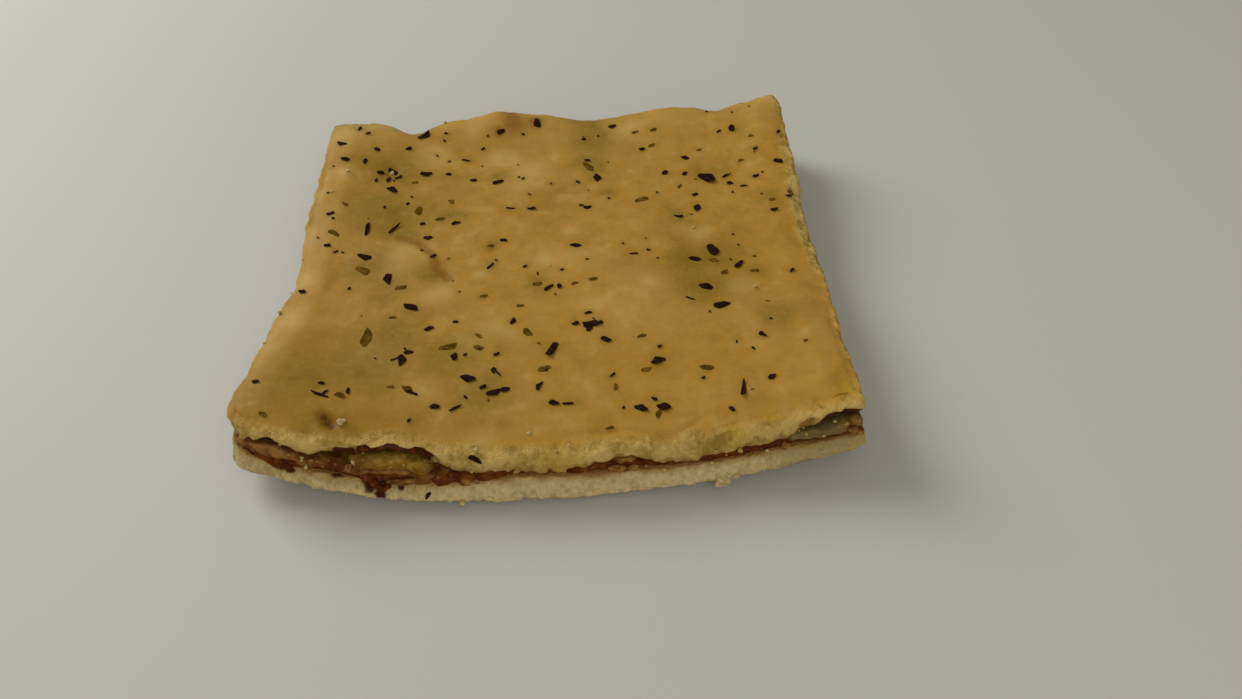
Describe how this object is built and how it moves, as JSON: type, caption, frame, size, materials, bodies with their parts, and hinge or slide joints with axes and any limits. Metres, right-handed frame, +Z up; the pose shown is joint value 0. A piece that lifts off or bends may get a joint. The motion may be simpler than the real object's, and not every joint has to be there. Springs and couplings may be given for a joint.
{
  "type": "stuffed pizza slice",
  "caption": "Square slice of stuffed pizza: two sheets of golden bread with tomato, ham and melted cheese between them, and dried herbs on the crust.",
  "frame": {"origin": "under the middle of the slice's bounding box, on the surface that it lies on", "axes": "+Z up; the cut that shows the filling faces -Y; +X to the right as that cut is looked at"},
  "size_m": [0.1632, 0.1617, 0.0271],
  "materials": {
    "crumb": "dry, porous bread crumb, baked brown underneath",
    "tomato": "moist, dark red",
    "ham": "moist, cooked ham",
    "cheese": "melted cheese, oily",
    "crust": "smooth golden crust with a light sheen of oil",
    "herbs": "dried herb flakes, dark brown to olive"
  },
  "bodies": {
    "root": {"bread_base": "crumb", "tomato_sauce": "tomato", "ham": "ham", "cheese": "cheese", "bread_top": "crust"}
  },
  "joints": []
}
